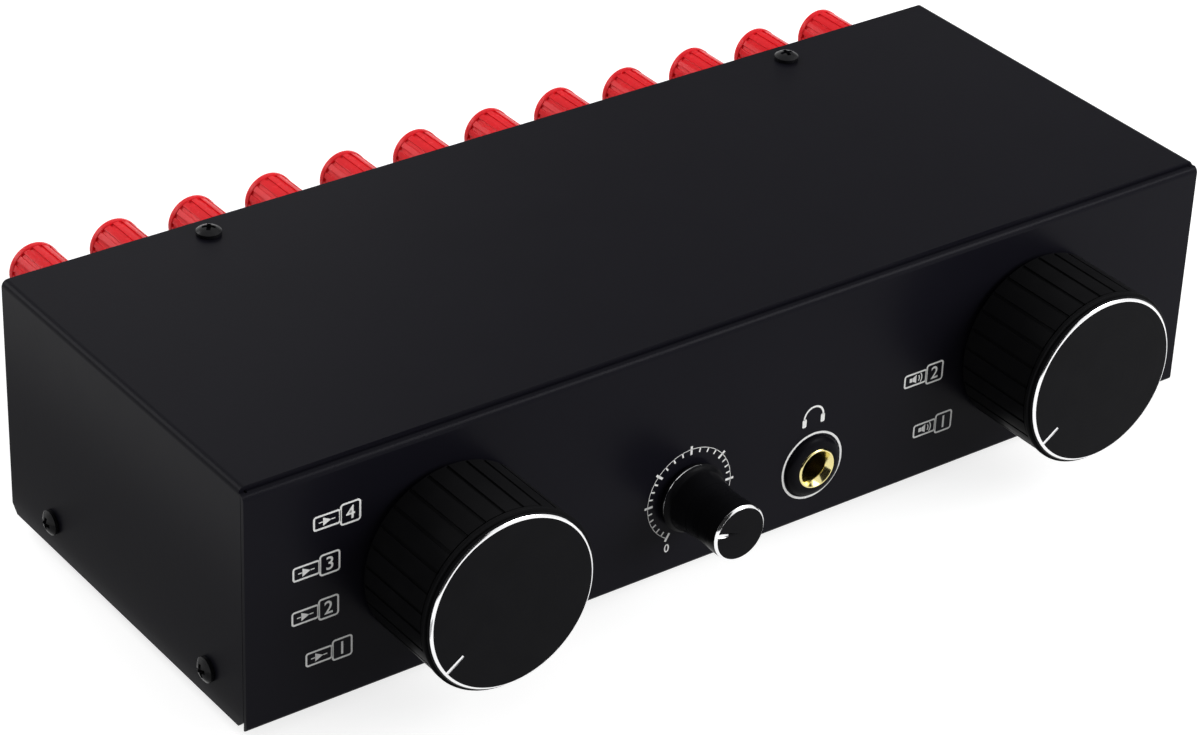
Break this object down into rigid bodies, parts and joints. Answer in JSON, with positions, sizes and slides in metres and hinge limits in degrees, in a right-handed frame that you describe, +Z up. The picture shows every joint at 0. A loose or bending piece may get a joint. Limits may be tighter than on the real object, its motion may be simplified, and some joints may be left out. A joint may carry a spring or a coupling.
{
  "type": "speaker selector switch",
  "caption": "Switch box that connects one of several amplifiers to one of two loudspeaker pairs, with headphone volume and jack in front and screw posts behind.",
  "frame": {"origin": "middle of the bounding box in X and Y, at the underside of the rubber feet", "axes": "+X to the right seen from the front, +Y from the front panel to the rear panel, +Z up"},
  "size_m": [0.2538, 0.1388, 0.0619],
  "materials": {
    "case_steel": "semi-gloss black powder coat with a very fine texture",
    "screw_steel": "black zinc plated steel",
    "foot_rubber": "matt black rubber",
    "knob_metal": "satin black anodised, turned face, bright cut edges and pointer line",
    "red_plastic": "glossy translucent red moulding",
    "black_plastic": "glossy black moulding",
    "gilt_brass": "gold flashed, polished",
    "bright_steel": "zinc plated",
    "tinned_metal": "tinned",
    "insulator": "matt black insulating moulding",
    "wafer_board": "brown laminated phenolic sheet",
    "circuit_board": "green solder mask",
    "resistor_body": "grey-blue flameproof coating",
    "red_wire": "red insulated lead",
    "black_wire": "black insulated lead"
  },
  "bodies": {
    "case": {"chassis": "case_steel", "rear_panel": "case_steel", "rear_flanges": "case_steel", "top_cover": "case_steel", "cover_screws": "screw_steel", "rubber_feet": "foot_rubber", "post_studs": "gilt_brass", "red_collars": "red_plastic", "black_collars": "black_plastic", "post_bushes": "insulator", "solder_tags": "tinned_metal", "post_nuts": "bright_steel", "amp_switch_housing": "bright_steel", "amp_switch_wafers": "wafer_board", "speaker_switch_housing": "bright_steel", "speaker_switch_wafers": "wafer_board", "switch_terminals": "gilt_brass", "panel_nuts": "bright_steel", "volume_pot_case": "bright_steel", "volume_pot_terminals": "tinned_metal", "jack_body": "insulator", "jack_sleeve": "gilt_brass", "jack_nut": "black_plastic", "jack_contacts": "tinned_metal", "headphone_board": "circuit_board", "resistors": "resistor_body", "red_wires": "red_wire", "black_wires": "black_wire"},
    "amp_selector_knob": {"amp_knob": "knob_metal", "amp_knob_screw": "screw_steel", "amp_switch_shaft": "bright_steel"},
    "speaker_selector_knob": {"speaker_knob": "knob_metal", "speaker_knob_screw": "screw_steel", "speaker_switch_shaft": "bright_steel"},
    "volume_control": {"volume_knob": "knob_metal", "volume_shaft": "bright_steel"},
    "red_cap_1": {"red_cap_1": "red_plastic"},
    "red_cap_2": {"red_cap_2": "red_plastic"},
    "red_cap_3": {"red_cap_3": "red_plastic"},
    "red_cap_4": {"red_cap_4": "red_plastic"},
    "red_cap_5": {"red_cap_5": "red_plastic"},
    "red_cap_6": {"red_cap_6": "red_plastic"},
    "red_cap_7": {"red_cap_7": "red_plastic"},
    "red_cap_8": {"red_cap_8": "red_plastic"},
    "red_cap_9": {"red_cap_9": "red_plastic"},
    "red_cap_10": {"red_cap_10": "red_plastic"},
    "red_cap_11": {"red_cap_11": "red_plastic"},
    "red_cap_12": {"red_cap_12": "red_plastic"},
    "black_cap_1": {"black_cap_1": "black_plastic"},
    "black_cap_2": {"black_cap_2": "black_plastic"},
    "black_cap_3": {"black_cap_3": "black_plastic"},
    "black_cap_4": {"black_cap_4": "black_plastic"},
    "black_cap_5": {"black_cap_5": "black_plastic"},
    "black_cap_6": {"black_cap_6": "black_plastic"},
    "black_cap_7": {"black_cap_7": "black_plastic"},
    "black_cap_8": {"black_cap_8": "black_plastic"},
    "black_cap_9": {"black_cap_9": "black_plastic"},
    "black_cap_10": {"black_cap_10": "black_plastic"},
    "black_cap_11": {"black_cap_11": "black_plastic"},
    "black_cap_12": {"black_cap_12": "black_plastic"}
  },
  "joints": [
    {"name": "amp_selector", "type": "hinge", "parent": "case", "child": "amp_selector_knob", "pos_m": [-0.078, -0.0454, 0.0306], "axis": [0, 1, 0], "range_deg": [0, 75]},
    {"name": "speaker_selector", "type": "hinge", "parent": "case", "child": "speaker_selector_knob", "pos_m": [0.078, -0.0454, 0.0306], "axis": [0, 1, 0], "range_deg": [0, 25]},
    {"name": "volume_turn", "type": "hinge", "parent": "case", "child": "volume_control", "pos_m": [-0.016, -0.0454, 0.0211], "axis": [0, 1, 0], "range_deg": [-72, 228]},
    {"name": "red_cap_1_slide", "type": "slide", "parent": "case", "child": "red_cap_1", "axis": [0, 1, 0], "range_m": [0, 0.005]},
    {"name": "red_cap_2_slide", "type": "slide", "parent": "case", "child": "red_cap_2", "axis": [0, 1, 0], "range_m": [0, 0.005]},
    {"name": "red_cap_3_slide", "type": "slide", "parent": "case", "child": "red_cap_3", "axis": [0, 1, 0], "range_m": [0, 0.005]},
    {"name": "red_cap_4_slide", "type": "slide", "parent": "case", "child": "red_cap_4", "axis": [0, 1, 0], "range_m": [0, 0.005]},
    {"name": "red_cap_5_slide", "type": "slide", "parent": "case", "child": "red_cap_5", "axis": [0, 1, 0], "range_m": [0, 0.005]},
    {"name": "red_cap_6_slide", "type": "slide", "parent": "case", "child": "red_cap_6", "axis": [0, 1, 0], "range_m": [0, 0.005]},
    {"name": "red_cap_7_slide", "type": "slide", "parent": "case", "child": "red_cap_7", "axis": [0, 1, 0], "range_m": [0, 0.005]},
    {"name": "red_cap_8_slide", "type": "slide", "parent": "case", "child": "red_cap_8", "axis": [0, 1, 0], "range_m": [0, 0.005]},
    {"name": "red_cap_9_slide", "type": "slide", "parent": "case", "child": "red_cap_9", "axis": [0, 1, 0], "range_m": [0, 0.005]},
    {"name": "red_cap_10_slide", "type": "slide", "parent": "case", "child": "red_cap_10", "axis": [0, 1, 0], "range_m": [0, 0.005]},
    {"name": "red_cap_11_slide", "type": "slide", "parent": "case", "child": "red_cap_11", "axis": [0, 1, 0], "range_m": [0, 0.005]},
    {"name": "red_cap_12_slide", "type": "slide", "parent": "case", "child": "red_cap_12", "axis": [0, 1, 0], "range_m": [0, 0.005]},
    {"name": "black_cap_1_slide", "type": "slide", "parent": "case", "child": "black_cap_1", "axis": [0, 1, 0], "range_m": [0, 0.005]},
    {"name": "black_cap_2_slide", "type": "slide", "parent": "case", "child": "black_cap_2", "axis": [0, 1, 0], "range_m": [0, 0.005]},
    {"name": "black_cap_3_slide", "type": "slide", "parent": "case", "child": "black_cap_3", "axis": [0, 1, 0], "range_m": [0, 0.005]},
    {"name": "black_cap_4_slide", "type": "slide", "parent": "case", "child": "black_cap_4", "axis": [0, 1, 0], "range_m": [0, 0.005]},
    {"name": "black_cap_5_slide", "type": "slide", "parent": "case", "child": "black_cap_5", "axis": [0, 1, 0], "range_m": [0, 0.005]},
    {"name": "black_cap_6_slide", "type": "slide", "parent": "case", "child": "black_cap_6", "axis": [0, 1, 0], "range_m": [0, 0.005]},
    {"name": "black_cap_7_slide", "type": "slide", "parent": "case", "child": "black_cap_7", "axis": [0, 1, 0], "range_m": [0, 0.005]},
    {"name": "black_cap_8_slide", "type": "slide", "parent": "case", "child": "black_cap_8", "axis": [0, 1, 0], "range_m": [0, 0.005]},
    {"name": "black_cap_9_slide", "type": "slide", "parent": "case", "child": "black_cap_9", "axis": [0, 1, 0], "range_m": [0, 0.005]},
    {"name": "black_cap_10_slide", "type": "slide", "parent": "case", "child": "black_cap_10", "axis": [0, 1, 0], "range_m": [0, 0.005]},
    {"name": "black_cap_11_slide", "type": "slide", "parent": "case", "child": "black_cap_11", "axis": [0, 1, 0], "range_m": [0, 0.005]},
    {"name": "black_cap_12_slide", "type": "slide", "parent": "case", "child": "black_cap_12", "axis": [0, 1, 0], "range_m": [0, 0.005]}
  ]
}
